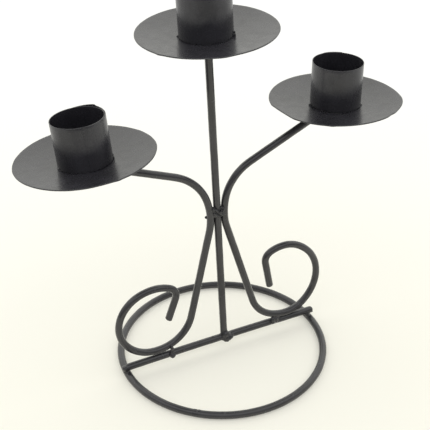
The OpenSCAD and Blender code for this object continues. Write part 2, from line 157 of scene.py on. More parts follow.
def arm_down(side):
    """Chart from the waist down.  The leg is as long as brings the heel's bend, a wire's pitch
    away, against the arched crossbar, and the heel turns until it runs along the crossbar."""
    a = ARM[side]
    waist = (LAND, WAIST_R, a["splay"])
    p = after_row((WIRE_PITCH, WAIST_H, -90), waist)
    lean = radians(LEAN_LEFT)
    centre = (-side * (FOOT_RIGHT * cos(lean) + BAR_ARCH_R * sin(lean)),
              FOOT_RIGHT * sin(lean) - BAR_ARCH_R * cos(lean))
    h = radians(p[2])

    def to_arch(q):
        return q[0] - HEEL_R * sin(h) - centre[0], q[1] + HEEL_R * cos(h) - centre[1]

    to = to_arch(p)
    along = to[0] * cos(h) + to[1] * sin(h)
    apart = BAR_ARCH_R + WIRE_PITCH + HEEL_R
    leg = -along - sqrt(along ** 2 - to[0] ** 2 - to[1] ** 2 + apart ** 2)
    to = to_arch((p[0] + leg * cos(h), p[1] + leg * sin(h)))
    heel_a = -degrees(atan2(to[0], to[1])) - p[2]
    scroll = [(LAND, r, t) for r, t in zip(a["scroll_r"], a["scroll_a"])]
    hook = [(LAND, HOOK_R, a["hook_a"]), (a["tail"], 0, 0)]
    return [waist, (leg, HEEL_R, heel_a)] + scroll + hook


def curvature(rows, step):
    """Curvature of a chart at even steps of length: nought on a straight, one over the
    radius on a bend, and negative where the bend turns to the right."""
    parts = []
    for straight, radius, angle in rows:
        parts.append(np.zeros(int(round(straight / step))))
        if radius:
            n = int(round(radius * abs(radians(angle)) / step))
            parts.append(np.full(n, radians(angle) / (n * step)))
    return np.concatenate(parts)


def soften(values, width, step):
    """Running average with a bell-shaped weight of that width."""
    k = np.arange(-3 * width, 3 * width + step / 2, step)
    bell = np.exp(-0.5 * (k / width) ** 2)
    pad = len(k) // 2
    return np.convolve(np.pad(values, pad, mode="edge"), bell / bell.sum(), mode="valid")


def arm_line(side, step=LINE_STEP):
    """Centre line of an arm wire from its end under the pan to the end of its hook, with its
    direction and the normal in its plane.  The curvature of both charts, eased where a bend
    meets a straight, is summed to a heading, and the heading to a place, from the waist."""
    up, down = curvature(arm_up(side), step), curvature(arm_down(side), step)
    k = soften(np.concatenate([-up[::-1], down]), BEND_EASE, step)
    heading = np.cumsum(k) * step
    heading += radians(-90) - heading[len(up)]
    flat = np.cumsum(np.stack([np.cos(heading), np.sin(heading)], 1), 0) * step
    flat += np.array([WIRE_PITCH, WAIST_H]) - flat[len(up)]
    m = arm_plane(side)
    zero = np.zeros(len(flat))
    line = place(m, np.stack([flat[:, 0], flat[:, 1], zero], 1))
    normal = np.stack([-np.sin(heading), np.cos(heading), zero], 1) @ m[:3, :3].T
    return line, normal


def straight_line(start, end, step=LINE_STEP):
    """Points at even steps from start to end."""
    start, end = np.asarray(start, float), np.asarray(end, float)
    n = max(2, int(round(np.linalg.norm(end - start) / step)))
    return start + np.linspace(0, 1, n)[:, None] * (end - start)


def bar_height(x):
    """Height of the arched crossbar's middle line at x."""
    return BAR_Z - BAR_ARCH_R + np.sqrt(BAR_ARCH_R ** 2 - np.asarray(x, float) ** 2)


# ---- Unevenness ----------------------------------------------------------------------

def ripple(points, size, seed, waves=20):
    """Smooth unevenness between about -1 and 1: a sum of plane waves in random directions,
    with wavelengths near the given size."""
    rng = np.random.default_rng(seed)
    direction = rng.normal(size=(waves, 3))
    direction /= np.linalg.norm(direction, axis=1)[:, None]
    pitch = size * rng.uniform(0.7, 1.6, waves)
    phase = rng.uniform(0, 2 * pi, waves)
    waves_at = np.asarray(points) @ (direction / pitch[:, None] * 2 * pi).T + phase
    return np.sin(waves_at).sum(1) / sqrt(waves)


def bell(angles, at, width, depth):
    """Bell-shaped change of so many millimetres at a direction, by angles in radians; the
    direction and the width are in degrees."""
    off = np.degrees(np.angle(np.exp(1j * (angles - radians(at)))))
    return depth * np.exp(-0.5 * (off / width) ** 2)


def ease(x, low, high):
    """Nought below low, one above high, and a smooth step between them."""
    t = np.clip((np.asarray(x, float) - low) / (high - low), 0, 1)
    return t * t * (3 - 2 * t)


def circle(angles, u, v):
    """Points of a unit circle in the plane of u and v, one for each angle."""
    return np.cos(angles)[..., None] * u + np.sin(angles)[..., None] * v


# ---- Meshes --------------------------------------------------------------------------

def piece(name, node, grid, slot, ends):
    """One closed piece from a grid of points in millimetres, which wraps round in its second
    direction and, where ends is None, in its first.  Each end is closed by a fan to its
    point.  The faces are turned outwards by the sign of the volume that they enclose.  The
    piece rides on the stand, in the place of the model's node, and wears its slot's paint."""
    grid = np.asarray(grid, float)
    rows, cols = grid.shape[:2]
    wrap = ends is None
    i = np.arange(rows if wrap else rows - 1)[:, None] * cols
    j = np.arange(cols)[None, :]
    i2, j2 = (i + cols) % (rows * cols), (j + 1) % cols
    quads = np.stack([i + j, i2 + j, i2 + j2, i + j2], -1).reshape(-1, 4)
    points = grid.reshape(-1, 3)
    fans = np.zeros((0, 3), int)
    if not wrap:
        first, last = np.arange(cols), np.arange(cols) + (rows - 1) * cols
        tips = len(points) + np.array([0, 1])
        fans = np.concatenate([
            np.stack([np.full(cols, tips[0]), first, np.roll(first, -1)], 1),
            np.stack([np.full(cols, tips[1]), np.roll(last, -1), last], 1)])
        points = np.concatenate([points, np.asarray(ends, float)])
    tris = np.concatenate([quads[:, [0, 1, 2]], quads[:, [0, 2, 3]], fans])
    a, b, c = (points[tris[:, n]] - points.mean(0) for n in range(3))
    if np.einsum("ij,ij->i", a, np.cross(b, c)).sum() < 0:
        quads, fans = quads[:, ::-1], fans[:, ::-1]
    corners = np.concatenate([quads.ravel(), fans.ravel()])
    sizes = np.concatenate([np.full(len(quads), 4), np.full(len(fans), 3)])
    mesh = bpy.data.meshes.new(name)
    mesh.vertices.add(len(points))
    mesh.vertices.foreach_set("co", (points / 1000).ravel())
    mesh.loops.add(len(corners))
    mesh.loops.foreach_set("vertex_index", corners)
    mesh.polygons.add(len(sizes))
    mesh.polygons.foreach_set("loop_start", np.concatenate([[0], np.cumsum(sizes)[:-1]]))
    mesh.polygons.foreach_set("loop_total", sizes)
    mesh.update(calc_edges=True)
    mesh.validate()
    mesh.shade_smooth()
    mesh.materials.append(PAINTS[slot])
    obj = bpy.data.objects.new(name, mesh)
    bpy.context.scene.collection.objects.link(obj)
    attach(obj, "root")
    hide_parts(node)


# ---- Wires ---------------------------------------------------------------------------

def thin_out(line, spacing):
    """Places of every so many points of a closely spaced line, always with its last."""
    step = np.linalg.norm(line[1] - line[0])
    every = max(1, int(round(spacing / step)))
    return np.unique(np.append(np.arange(0, len(line), every), len(line) - 1))


# A wire's cut end: angles round its edge, rings on its flat face as shares of the face's
# radius, how far the middle of the face stands out, and the length kept free of stations
EDGE_ROUND = np.radians([0, 20, 40, 60, 75, 90])
FACE_RINGS = (0.66, 0.36, 0.14)
FACE_CROWN, SHEAR_TURN, END_CLEAR = 0.06, 0.7, 0.8


def tube(line, normal, radius, seed, spacing=0.6, sides=32, shear=(6.0, -5.0), burr=0.35):
    """Round wire along a line: at each station a circle stands square to the line.  Its radius
    wavers by a few hundredths.  At both cut ends the circle shrinks along a quarter round to
    the flat cut, which stands askew as shears leave it.  Returns the grid and the two tips."""
    keep = thin_out(line, spacing)
    ahead = np.gradient(line, axis=0)
    ahead /= np.linalg.norm(ahead, axis=1)[:, None]
    line, normal, ahead = line[keep], normal[keep], ahead[keep]
    normal = normal - np.einsum("ij,ij->i", normal, ahead)[:, None] * ahead
    normal /= np.linalg.norm(normal, axis=1)[:, None]
    other = np.cross(ahead, normal)
    turn_a = np.linspace(0, 2 * pi, sides, endpoint=False)
    tilt = np.sin(turn_a + SHEAR_TURN)

    def end(k, sign, askew):
        along = ahead[k] * sign
        centre = line[k] - burr * along
        stations = [(radius - burr * (1 - cos(a)), burr * sin(a)) for a in EDGE_ROUND]
        stations += [((radius - burr) * f, burr * (1 + FACE_CROWN * (1 - f))) for f in FACE_RINGS]
        rings = [centre + r * circle(turn_a, normal[k], other[k])
                 + (push + askew * r * tilt)[:, None] * along for r, push in stations]
        return rings, centre + 1.05 * burr * along

    start, tip0 = end(0, -1, np.tan(np.radians(shear[0])))
    finish, tip1 = end(-1, 1, np.tan(np.radians(shear[1])))
    # Body stations stay clear of the two ends
    length = np.concatenate([[0], np.cumsum(np.linalg.norm(np.diff(line, axis=0), axis=1))])
    inside = (length > burr + END_CLEAR) & (length < length[-1] - burr - END_CLEAR)
    body = line[inside, None] + radius * circle(turn_a, normal[inside, None], other[inside, None])
    grid = np.concatenate([np.array(start[::-1]), body, np.array(finish)])
    return uneven(grid, seed), (tip0, tip1)


def uneven(grid, seed, amount=0.02):
    """Pushes a wire's skin in and out along its own radius by a small smooth ripple."""
    flat = grid.reshape(-1, 3)
    out = grid - grid.mean(1, keepdims=True)
    size = np.linalg.norm(out, axis=2, keepdims=True) + 1e-9
    push = ripple(flat, 7.0, seed) * amount + ripple(flat, 2.2, seed + 1) * amount * 0.35
    return grid + out / size * push.reshape(size.shape)


def across(line, hint):
    """Normals along a straight line that lie as near as can be to the hint."""
    return np.tile(np.asarray(hint, float), (len(line), 1))


# ---- Weld skins ----------------------------------------------------------------------
# How sharply pits cut in, how far the toe sinks into the solids, and the search for the skin
PIT_MELT, TOE_SINK = 0.2, 0.03
START_R, LEAST_R, MARCH_STEPS, MARCH_PACE = 0.05, 0.02, 48, 0.8


def blend_min(a, b, k):
    """Lesser of two distances, rounded off over a width k where they are about equal."""
    h = np.clip(k - np.abs(a - b), 0, None) / k
    return np.minimum(a, b) - h * h * k / 4


def wire_gap(points, line, radius):
    """Distance from each point to the skin of a round wire along a line of close points."""
    nearest = np.full(len(points), 1e9)
    for start in range(0, len(line), 40):
        gap = np.linalg.norm(points[:, None] - line[None, start:start + 40], axis=2).min(1)
        nearest = np.minimum(nearest, gap)
    return nearest - radius


def near(line, centre, reach):
    """The part of a line within reach of a centre."""
    return line[np.linalg.norm(line - centre, axis=1) < reach][::3]


def weld_skin(centre, beads, solids, reach, seed, fillet=0.9, rough=0.06, pits=(), keep=(),
              rows=72, cols=64, axis=(1.0, 0.0, 0.0), melt=1.0):
    """Skin of a weld, seen from its own centre: in each direction the skin lies where a field
    crosses nought.  The field is the distance to a few melted-together beads, eased into
    the distance to the solids that they join, so that the toe of the weld runs out on
    them in a small fillet.  Pits are small spheres sunk into it.  Past its reach, or past a
    limit in keep, the skin ends inside the solids."""
    axis = np.asarray(axis, float) / np.linalg.norm(axis)
    helper = UP if abs(axis[2]) < 0.9 else np.array([0.0, 1.0, 0.0])
    u = np.cross(axis, helper)
    u /= np.linalg.norm(u)
    v = np.cross(axis, u)
    polar = np.linspace(0, pi, rows + 2)[1:-1]
    turn_a = np.linspace(0, 2 * pi, cols, endpoint=False)
    way = np.cos(polar)[:, None, None] * axis + np.sin(polar)[:, None, None] * circle(turn_a, u, v)
    way = np.concatenate([way.reshape(-1, 3), [axis, -axis]])
    centre = np.asarray(centre, float)

    def field(p):
        bead = np.full(len(p), 1e9)
        for x, y, z, r in beads:
            bead = blend_min(bead, np.linalg.norm(p - (x, y, z), axis=1) - r, melt)
        bead = bead + rough * ripple(p, 1.5, seed) + 0.4 * rough * ripple(p, 0.6, seed + 1)
        for x, y, z, r in pits:
            bead = -blend_min(-bead, np.linalg.norm(p - (x, y, z), axis=1) - r, PIT_MELT)
        whole = bead
        for solid in solids:
            whole = blend_min(whole, solid(p) + TOE_SINK, fillet)
        for limit in keep:
            whole = np.maximum(whole, limit(p))
        return whole

    r = np.full(len(way), START_R)
    for _ in range(MARCH_STEPS):
        r = np.clip(r - MARCH_PACE * field(centre + r[:, None] * way), LEAST_R, reach)
    points = centre + r[:, None] * way
    return points[:-2].reshape(rows, cols, 3), (points[-2], points[-1])


def wire_solid(line, radius, centre, reach=9.0):
    """A wire near a weld, as a function that gives the distance to its skin."""
    part = near(line, np.asarray(centre, float), reach)
    return lambda p: wire_gap(p, part, radius)


# ---- Finishes ------------------------------------------------------------------------

def add(tree, kind, inputs=None, **settings):
    """New shader node with its settings.  Each input gets a value, or a link from an output."""
    made = tree.nodes.new(kind)
    for key, value in settings.items():
        setattr(made, key, value)
    for key, value in (inputs or {}).items():
        if isinstance(value, bpy.types.NodeSocket):
            tree.links.new(value, made.inputs[key])
        else:
            made.inputs[key].default_value = value
    return made


def black_paint(name, roughness, colour, peel, lumps):
    """Satin black paint: a dark base that varies a little from place to place, roughness that
    varies with it, and a fine orange peel over slow lumps, all from Object coordinates."""
    mat = bpy.data.materials.new(name)
    mat.use_nodes = True
    tree = mat.node_tree
    shader = tree.nodes["Principled BSDF"]
    where = add(tree, "ShaderNodeTexCoord").outputs["Object"]

    def noise(scale, detail):
        return add(tree, "ShaderNodeTexNoise", {
            "Vector": where, "Scale": scale, "Detail": detail, "Roughness": 0.5}).outputs["Fac"]

    def span(value, low, high):
        return add(tree, "ShaderNodeMapRange", {
            "Value": value, "From Min": 0.3, "From Max": 0.7, "To Min": low, "To Max": high,
        }).outputs["Result"]

    def bump(height, distance, more):
        return add(tree, "ShaderNodeBump", {
            "Strength": 1.0, "Distance": distance, "Height": height, **more}).outputs["Normal"]

    tint = add(tree, "ShaderNodeMix", {
        "A": (*[c * 0.8 for c in colour], 1), "B": (*[c * 1.25 for c in colour], 1),
        "Factor": span(noise(90, 3), 0, 1)}, data_type="RGBA")
    slow = bump(noise(220, 1), lumps, {})
    fine = bump(noise(900, 1), peel, {"Normal": slow})
    rough = span(noise(260, 2), roughness * 0.85, roughness * 1.2)
    tree.links.new(tint.outputs["Result"], shader.inputs["Base Color"])
    tree.links.new(rough, shader.inputs["Roughness"])
    tree.links.new(fine, shader.inputs["Normal"])
    shader.inputs["IOR"].default_value = 1.55
    return mat


# The paint of each slot: roughness, colour, depth of the orange peel and of the lumps
PAINTS = {slot: black_paint(slot, *looks) for slot, looks in {
    "wire_paint": (0.23, (0.034, 0.0333, 0.0365), 2e-6, 1e-5),
    "sheet_paint": (0.27, (0.0265, 0.0256, 0.0310), 6e-7, 3e-6),
    "weld_paint": (0.16, (0.026, 0.0258, 0.0290), 4e-6, 2e-5),
}.items()}

# ---- Wires of the stand --------------------------------------------------------------
arm_lines = {side: arm_line(side) for side, _ in SIDES}
for side, name in SIDES:
    line, normal = arm_lines[side]
    grid, tips = tube(line, normal, WIRE_R, 11 + side)
    piece(name + "_arm_wire", name + "_arm", grid, "wire_paint", tips)

upright_line = place(UPRIGHT_FRAME,
                     straight_line((0, 0, FOOT_LIFT), (0, 0, FOOT_LIFT + UPRIGHT_LEN)))
grid, tips = tube(upright_line, across(upright_line, (1, 0, 0)), WIRE_R, 21, spacing=1.0)
piece("upright_wire", "upright", grid, "wire_paint", tips)

# The crossbar, with worn round ends that lie a little further right than the model's
BAR_SHIFT = {-1: 0.5, 1: 0.42}
bar_x = np.arange(-HALF_CHORD - BAR_OVER[-1] + BAR_SHIFT[-1],
                  HALF_CHORD + BAR_OVER[1] + BAR_SHIFT[1], LINE_STEP)
bar_line = np.stack([bar_x, np.full(len(bar_x), BAR_BACK), bar_height(bar_x)], 1)
grid, tips = tube(bar_line, across(bar_line, UP), WIRE_R, 31, spacing=0.8,
                  shear=(2.0, -2.0), burr=1.5)
piece("crossbar_wire", "crossbar", grid, "wire_paint", tips)


def ring_points(angles):
    """Points of the middle line of the ring's wire."""
    return circle(angles, np.array([RING_R, 0, 0]), np.array([0, RING_R, 0])) + RING_WIRE_R * UP


def outwards(angles):
    """Directions straight out from the middle of the ring."""
    return circle(angles, np.array([1.0, 0, 0]), np.array([0, 1.0, 0]))


ring_a = np.linspace(0, 2 * pi, 560, endpoint=False)
tube_a = np.linspace(0, 2 * pi, 36, endpoint=False)
grid = ring_points(ring_a)[:, None] + RING_WIRE_R * circle(tube_a, outwards(ring_a)[:, None], UP)
grid = uneven(grid, 41)
grid[..., 2] = np.maximum(grid[..., 2], 0)
piece("base_ring_wire", "base_ring", grid, "wire_paint", None)


# ---- Pans ----------------------------------------------------------------------------

def pan_frame(side):
    """Frame on the middle of a pan's lower face: it rests on the rim of the wire's cut end."""
    if side == 0:
        at = move(-CENTER_PAN[1], -PAN_FORWARD, CROWN)
        return UPRIGHT_FRAME @ at @ turn(-CENTER_PAN[0], 0, 0)
    droop, back, set_back = PAN[side]
    end = (WIRE_PITCH, WAIST_H, 90)
    for row in arm_up(side):
        end = after_row(end, row)
    tip = np.array([side * end[0], 0, end[1]])
    aim = np.array([side * cos(radians(end[2])), 0, sin(radians(end[2]))])
    t, b = radians(side * droop), radians(back)
    normal = np.array([cos(b) * sin(t), sin(b), cos(b) * cos(t)])
    out = np.array([side * cos(t), 0, -side * sin(t)])
    rise = WIRE_R * sqrt(1 - float(normal @ aim) ** 2)
    at = tip + normal * (rise + FIT_GAP) - out * set_back - np.array([0, PAN_FORWARD, 0])
    return ARM_FRAME @ move(*at) @ turn(-back, side * droop, 0)


def sag(r):
    """Height of a dished pan's lower face at a distance r from its middle."""
    return PAN_DISH * (np.asarray(r, float) / PAN_R) ** 2


# Rings of a pan from the middle out, as shares of the radius, angles round its rounded edge,
# and the low waves that warp it: power of the radius, number of waves, and share
PAN_RINGS = (0.06, 0.15, 0.27, 0.4, 0.52, 0.63, 0.73, 0.81, 0.88, 0.93, 0.965)
PAN_EDGE = np.radians([90, 70, 50, 30, 10, -10, -30, -50, -70, -90])
EDGE_SHARE, RIM_NOISE = 0.42, 0.03
PAN_WARP, WARP_WAVES = 0.10, ((2, 2, 1.0), (3, 3, 0.5), (3, 5, 0.25))


def pan_sheet(rim, seed, cols=256):
    """Sheet-metal dish: a polar grid whose outline is the rim radius as a function of the
    direction.  The top runs out to a rounded edge, round it and back in underneath.
    The whole dish rises with the radius squared and is warped by low waves."""
    a = np.linspace(0, 2 * pi, cols, endpoint=False)
    round_rim = np.stack([np.cos(a), np.sin(a), 0 * a], 1) * PAN_R
    edge_r = PAN_T * EDGE_SHARE
    flat_r = rim(a) + RIM_NOISE * ripple(round_rim, 6.0, seed) - edge_r
    rings = [(f * flat_r, PAN_T) for f in PAN_RINGS]
    rings += [(flat_r + edge_r * cos(t), PAN_T / 2 * (1 + sin(t))) for t in PAN_EDGE]
    rings += [(f * flat_r, 0) for f in PAN_RINGS[::-1]]
    rho = np.array([r for r, _ in rings])
    z = np.array([[z] * cols for _, z in rings])
    grid = np.stack([rho * np.cos(a), rho * np.sin(a), z], -1)
    phases = np.random.default_rng(seed).uniform(0, 2 * pi, 3)
    share = rho / PAN_R
    grid[..., 2] += sag(rho)
    for (power, waves, part), phase in zip(WARP_WAVES, phases):
        grid[..., 2] += PAN_WARP * part * share ** power * np.cos(waves * a + phase)
    return grid, ((0, 0, PAN_T), (0, 0, 0))


def rim_with(more, waves, changes, shear=None):
    """Rim radius of a pan: a little more than nominal, with a few low waves (cosine and sine
    parts), a bell-shaped change of so many millimetres at each given direction and width,
    and a straight cut where the shears went through."""
    def rim(a):
        r = np.full(len(a), PAN_R + more)
        for n, (c, d) in enumerate(waves, 1):
            r = r + c * np.cos(n * a) + d * np.sin(n * a)
        for change in changes:
            r = r + bell(a, *change)
        if shear is not None:
            facing = np.cos(a - radians(shear))
            chord = (PAN_R - SHEAR_DEPTH) / np.maximum(facing, 0.5)
            r = np.where(facing > 0.5, np.minimum(r, chord), r)
        return r
    return rim


PAN_RIMS = {
    "left": (-1, rim_with(0.37, [(0.19, 0.26), (0, -0.1), (0, -0.3)],
                          [(268, 7, -0.38), (279, 2.0, 0.6), (287, 5, 0.1)]), 51),
    "center": (0, rim_with(0.25, [(0.07, 0.04), (-0.04, -0.22), (0.05, 0)],
                           [(205, 2.0, 0.5), (257, 4.5, 0.8)]), 52),
    "right": (1, rim_with(0.42, [(0.04, 0.24), (-0.29, 0.13), (-0.13, -0.26)],
                          [(237.5, 1.8, 0.65), (296, 2.5, -0.4), (329, 10, 0.57)],
                          SHEAR_A), 53),
}
pan_frames = {}
for name, (side, rim, seed) in PAN_RIMS.items():
    pan_frames[name] = m = pan_frame(side)
    grid, tips = pan_sheet(rim, seed)
    piece(name + "_pan_sheet", name + "_pan", place(m, grid), "sheet_paint", place(m, tips))


# ---- Cups ----------------------------------------------------------------------------

def cup_frame(name):
    """Frame on the middle of a cup's foot, which stands clear of its pan by the seat's gap."""
    at, tilt = CUP[name][:2]
    foot_r = CUP_R + CUP_T
    lean = foot_r * sin(radians(hypot(*tilt)))
    lift = sag(foot_r + hypot(*at)) + PAN_T + SEAT_GAP + lean
    return pan_frames[name] @ move(at[0], at[1], lift) @ turn(tilt[0], tilt[1], 0)


# A cup's strip: length of its feathered outer end and how thin that end is, how thin the
# inner end is, the play between the layers, waves of the radius and of the edge, and angles
# of the rings that round off a cut end
FEATHER_A, OUTER_THIN, INNER_THIN, LAYER_PLAY = 10, 0.3, 0.04, 0.03
OVAL, THREE_LOBED, EDGE_WAVE = 0.05, 0.03, 0.06
END_RINGS = np.radians([30, 60, 80])


def cup_strip(cut_at, lap, thick, outside, rises, nicks, dents, seed):
    """A strip of sheet rolled into a tube: its rounded cross-section is carried round the
    cup's axis from the outer cut end, which lies one thickness further out, along the lap,
    down a joggle, once round and in under the lap to the inner cut end."""
    down = lap + JOGGLE_A
    stations = ((0, FEATHER_A, 12), (FEATHER_A, lap, int(0.7 * lap)), (lap, down, 14),
                (down, 358 + lap, 250), (358 + lap, 359 + down, 16))
    way = np.concatenate([[0]] + [np.linspace(*part)[1:] for part in stations])
    climb = 1 - ease(way, lap - 2, down)
    # Both cut ends are feathered, the inner one into the hollow of the joggle
    full = OUTER_THIN + (1 - OUTER_THIN) * ease(way, 0, FEATHER_A)
    full = full * (1 - (1 - INNER_THIN) * ease(way - 360, lap - 2, down))
    theta = np.radians(cut_at + way)
    middle = outside - thick + (thick + LAYER_PLAY) * climb + full * thick / 2
    middle = middle + OVAL * np.cos(2 * theta + seed) + THREE_LOBED * np.cos(3 * theta + 2 * seed)
    middle = middle + sum(bell(theta, *dent) for dent in dents)
    rise = np.interp(way, *zip(*rises)) + EDGE_WAVE * np.sin(theta * 2 + seed)
    rise = rise + sum(bell(theta, *nick) for nick in nicks)
    # Cross-section: up the outside, over the rounded rim, down the inside, round the foot
    t, bend = thick / 2, np.radians(np.linspace(0, 180, 9))[1:-1]
    up = np.linspace(t, CUP_H - t, 15)
    off = np.concatenate([0 * up + t, t * np.cos(bend), 0 * up - t, -t * np.cos(bend)])
    z = np.concatenate([up, CUP_H - t + t * np.sin(bend), up[::-1], t - t * np.sin(bend)])
    radius = middle[:, None] + off * full[:, None]
    grid = np.stack([radius * np.cos(theta)[:, None], radius * np.sin(theta)[:, None],
                     z + rise[:, None] * ease(z, 0, CUP_H)], -1)
    # The two cut ends are rounded: the section shrinks towards its middle line
    rings, tips = [], []
    for k, sign in ((0, -1), (-1, 1)):
        section, turned = grid[k], theta[k]
        along = sign * np.array([-sin(turned), cos(turned), 0]) * t * full[k] * 0.8
        line = np.stack([middle[k] * np.cos(turned) + 0 * z, middle[k] * np.sin(turned) + 0 * z,
                         np.clip(section[:, 2], section[:, 2].min() + t,
                                 section[:, 2].max() - t)], 1)
        rings.append([line + (section - line) * cos(b) + along * sin(b) for b in END_RINGS])
        tips.append(section.mean(0) + along)
    return np.concatenate([np.array(rings[0][::-1]), grid, np.array(rings[1])]), tips


cup_frames = {name: cup_frame(name) for name in CUP}
for n, name in enumerate(CUP):
    grid, tips = cup_strip(*STRIP[name], 1.3 + n)
    m = cup_frames[name]
    piece(name + "_cup_strip", name + "_cup", place(m, grid), "sheet_paint", place(m, tips))

# ---- Welds ---------------------------------------------------------------------------
ring_close = ring_points(np.linspace(0, 2 * pi, 6000))


def weld(name, node, centre, beads, solids, reach, seed, **more):
    """One weld piece in the place of its node."""
    grid, tips = weld_skin(centre, beads, solids, reach, seed, **more)
    piece(name, node, grid, "weld_paint", tips)


# Foot of the upright
at = (FOOT_RIGHT, BAR_BACK, BAR_Z)
weld("foot_bead", "foot_weld", (FOOT_RIGHT + 0.4, BAR_BACK - 1.0, BAR_Z + 0.4),
     [(FOOT_RIGHT + WIRE_R * 0.4, BAR_BACK - WIRE_R * 0.7, BAR_Z - WIRE_R * 0.3, BEAD_R),
      (FOOT_RIGHT + WIRE_R * 1.6, BAR_BACK - WIRE_R * 0.8, BAR_Z - WIRE_R * 0.1, BEAD_R * 0.75),
      (FOOT_RIGHT + WIRE_R * 0.1, BAR_BACK - WIRE_R * 0.6, BAR_Z + WIRE_R * 1.2, BEAD_R * 0.85)],
     [wire_solid(bar_line, WIRE_R, at), wire_solid(upright_line, WIRE_R, at)], 5.2, 61)

# Feet of the scrolls: on the left a ridge down to a ball, on the right a saddle cut off square
SCROLL_BEADS = {
    -1: [(-28.3, -0.4, 12.0, 0.8), (-28.3, -0.7, 10.4, 1.0), (-28.3, -0.6, 8.4, 1.1),
         (-28.2, -0.8, 6.4, 1.75)],
    1: [(29.6, -0.3, 8.3, 1.3), (31.4, -0.2, 8.2, 1.2), (29.5, -0.5, 6.7, 1.2),
        (31.6, -0.4, 6.9, 1.1), (32.8, 0.0, 7.8, 0.9)],
}
SCROLL_INSIDE = {-1: 0.0, 1: 1.0}    # how far right of its first bead a weld's centre lies
SADDLE_CUT = 28.5                    # X of the square cut, which the right weld stays beyond
for side, name in SIDES:
    beads = SCROLL_BEADS[side]
    at = (beads[0][0], BAR_BACK, BAR_Z + 1.5)
    limits = [lambda p: SADDLE_CUT - p[:, 0]] if side > 0 else []
    weld(name + "_scroll_bead", name + "_scroll_weld",
         (at[0] + SCROLL_INSIDE[side], BAR_BACK - 1.2, BAR_Z + 1.8), beads,
         [wire_solid(bar_line, WIRE_R, at), wire_solid(arm_lines[side][0], WIRE_R, at)],
         5.4, 63 + side, fillet=0.5, melt=0.6, keep=limits)

# Ends of the crossbar on the ring
BAR_BEADS = {-1: (-52.9, 0.8, 3.5, 1.3), 1: (HALF_CHORD - 1.1, BAR_BACK - 0.9, 4.0, 1.5)}
for side, name in SIDES:
    bead = BAR_BEADS[side]
    c = bead[:3]
    weld(name + "_bar_bead", name + "_bar_weld", c, [bead],
         [wire_solid(bar_line, WIRE_R, c), wire_solid(ring_close, RING_WIRE_R, c)],
         3.4, 67 + side, fillet=0.5, rows=48, cols=48)

# Waist: two ridges that run down across the upright from the left wire, and on the right a
# crater with a raised lip over a short ridge, each on metal that fills the groove behind it
def chain(start, end, r, n=8):
    """Beads in a row from start to end."""
    return [(*p, r) for p in np.linspace(start, end, n)]


def lip(centre, wide, high, r, n=16):
    """Beads in an oval that faces forwards and up."""
    oval = circle(np.linspace(0, 2 * pi, n, endpoint=False),
                  np.array([wide, 0, 0]), np.array([0, 0.5 * high, high]))
    return [(*p, r) for p in np.array(centre) + oval]


# Places from the waist up, in the frame of the arm wires
WAIST_BEADS = {
    -1: chain((-1.9, -0.6, 4.9), (-1.9, -0.8, 1.2), 1.1) + [(-1.3, -1.9, 4.4, 0.9)]
        + chain((-2.7, -1.6, 5.2), (0.2, -2.0, 2.8), 0.75)
        + chain((-2.2, -1.5, 2.8), (0.1, -1.8, 0.7), 0.7),
    1: chain((1.9, -0.6, 4.2), (1.9, -0.8, 1.0), 1.1) + lip((1.45, -1.9, 4.2), 1.1, 0.75, 0.6)
        + chain((0.2, -1.8, 2.8), (2.8, -1.5, 0.7), 0.7),
}
WAIST_PITS = {
    -1: [(-2.0, -2.2, 3.7, 0.5), (-1.5, -2.3, 3.2, 0.55), (-1.0, -2.4, 2.5, 0.5)],
    1: [(1.45, -2.7, 4.3, 0.8), (1.9, -2.3, 2.4, 0.5)],
}
waist_frame = ARM_FRAME @ move(0, 0, WAIST_H)
for side, name in SIDES:
    beads, pits = ([(*place(waist_frame, spot[:3]), spot[3]) for spot in table[side]]
                   for table in (WAIST_BEADS, WAIST_PITS))
    c = place(waist_frame, (side * WIRE_PITCH / 2, -0.8, 3.3))
    weld(name + "_waist_bead", name + "_waist_weld", c, beads,
         [wire_solid(upright_line, WIRE_R, c), wire_solid(arm_lines[side][0], WIRE_R, c)],
         5.2, 70 + side, axis=(0, 0, 1), fillet=0.2, rough=0.03, melt=0.12, pits=pits,
         rows=120, cols=110)

# Wire ends under the pans
for name, (side, _, _) in PAN_RIMS.items():
    m = pan_frames[name]
    normal, low = m[:3, 2], m[:3, 3]
    if side:
        line = arm_lines[side][0]
        c, r = line[0] + 0.5 * WIRE_R * normal, BEAD_R
    else:
        line = upright_line
        c, r = place(UPRIGHT_FRAME, (0, 0, CROWN - BEAD_R * 0.5)), BEAD_R * 1.2
    inner = c - normal * ((c - low) @ normal + 0.8)
    slab = lambda p, n=normal, q=low: np.abs((p - q) @ n - PAN_T / 2) - PAN_T / 2
    limit = lambda p, n=normal, q=low: (p - q) @ n - PAN_T / 2
    weld(name + "_pan_bead", name + "_pan_weld", inner, [(*c, r)],
         [wire_solid(line, WIRE_R, c), slab], 4.6, 74 + side, keep=[limit], rows=48, cols=48)


# Tacks at the feet of the cups, each cup's pair as two pieces
def above_pan(frame_, p):
    """Height of points above the lower face of a dished pan."""
    q = place(np.linalg.inv(frame_), p)
    return q[:, 2] - sag(np.hypot(q[:, 0], q[:, 1]))


def off_axis(frame_, p):
    """Distance of points from the axis of a cup."""
    q = place(np.linalg.inv(frame_), p)
    return np.hypot(q[:, 0], q[:, 1])


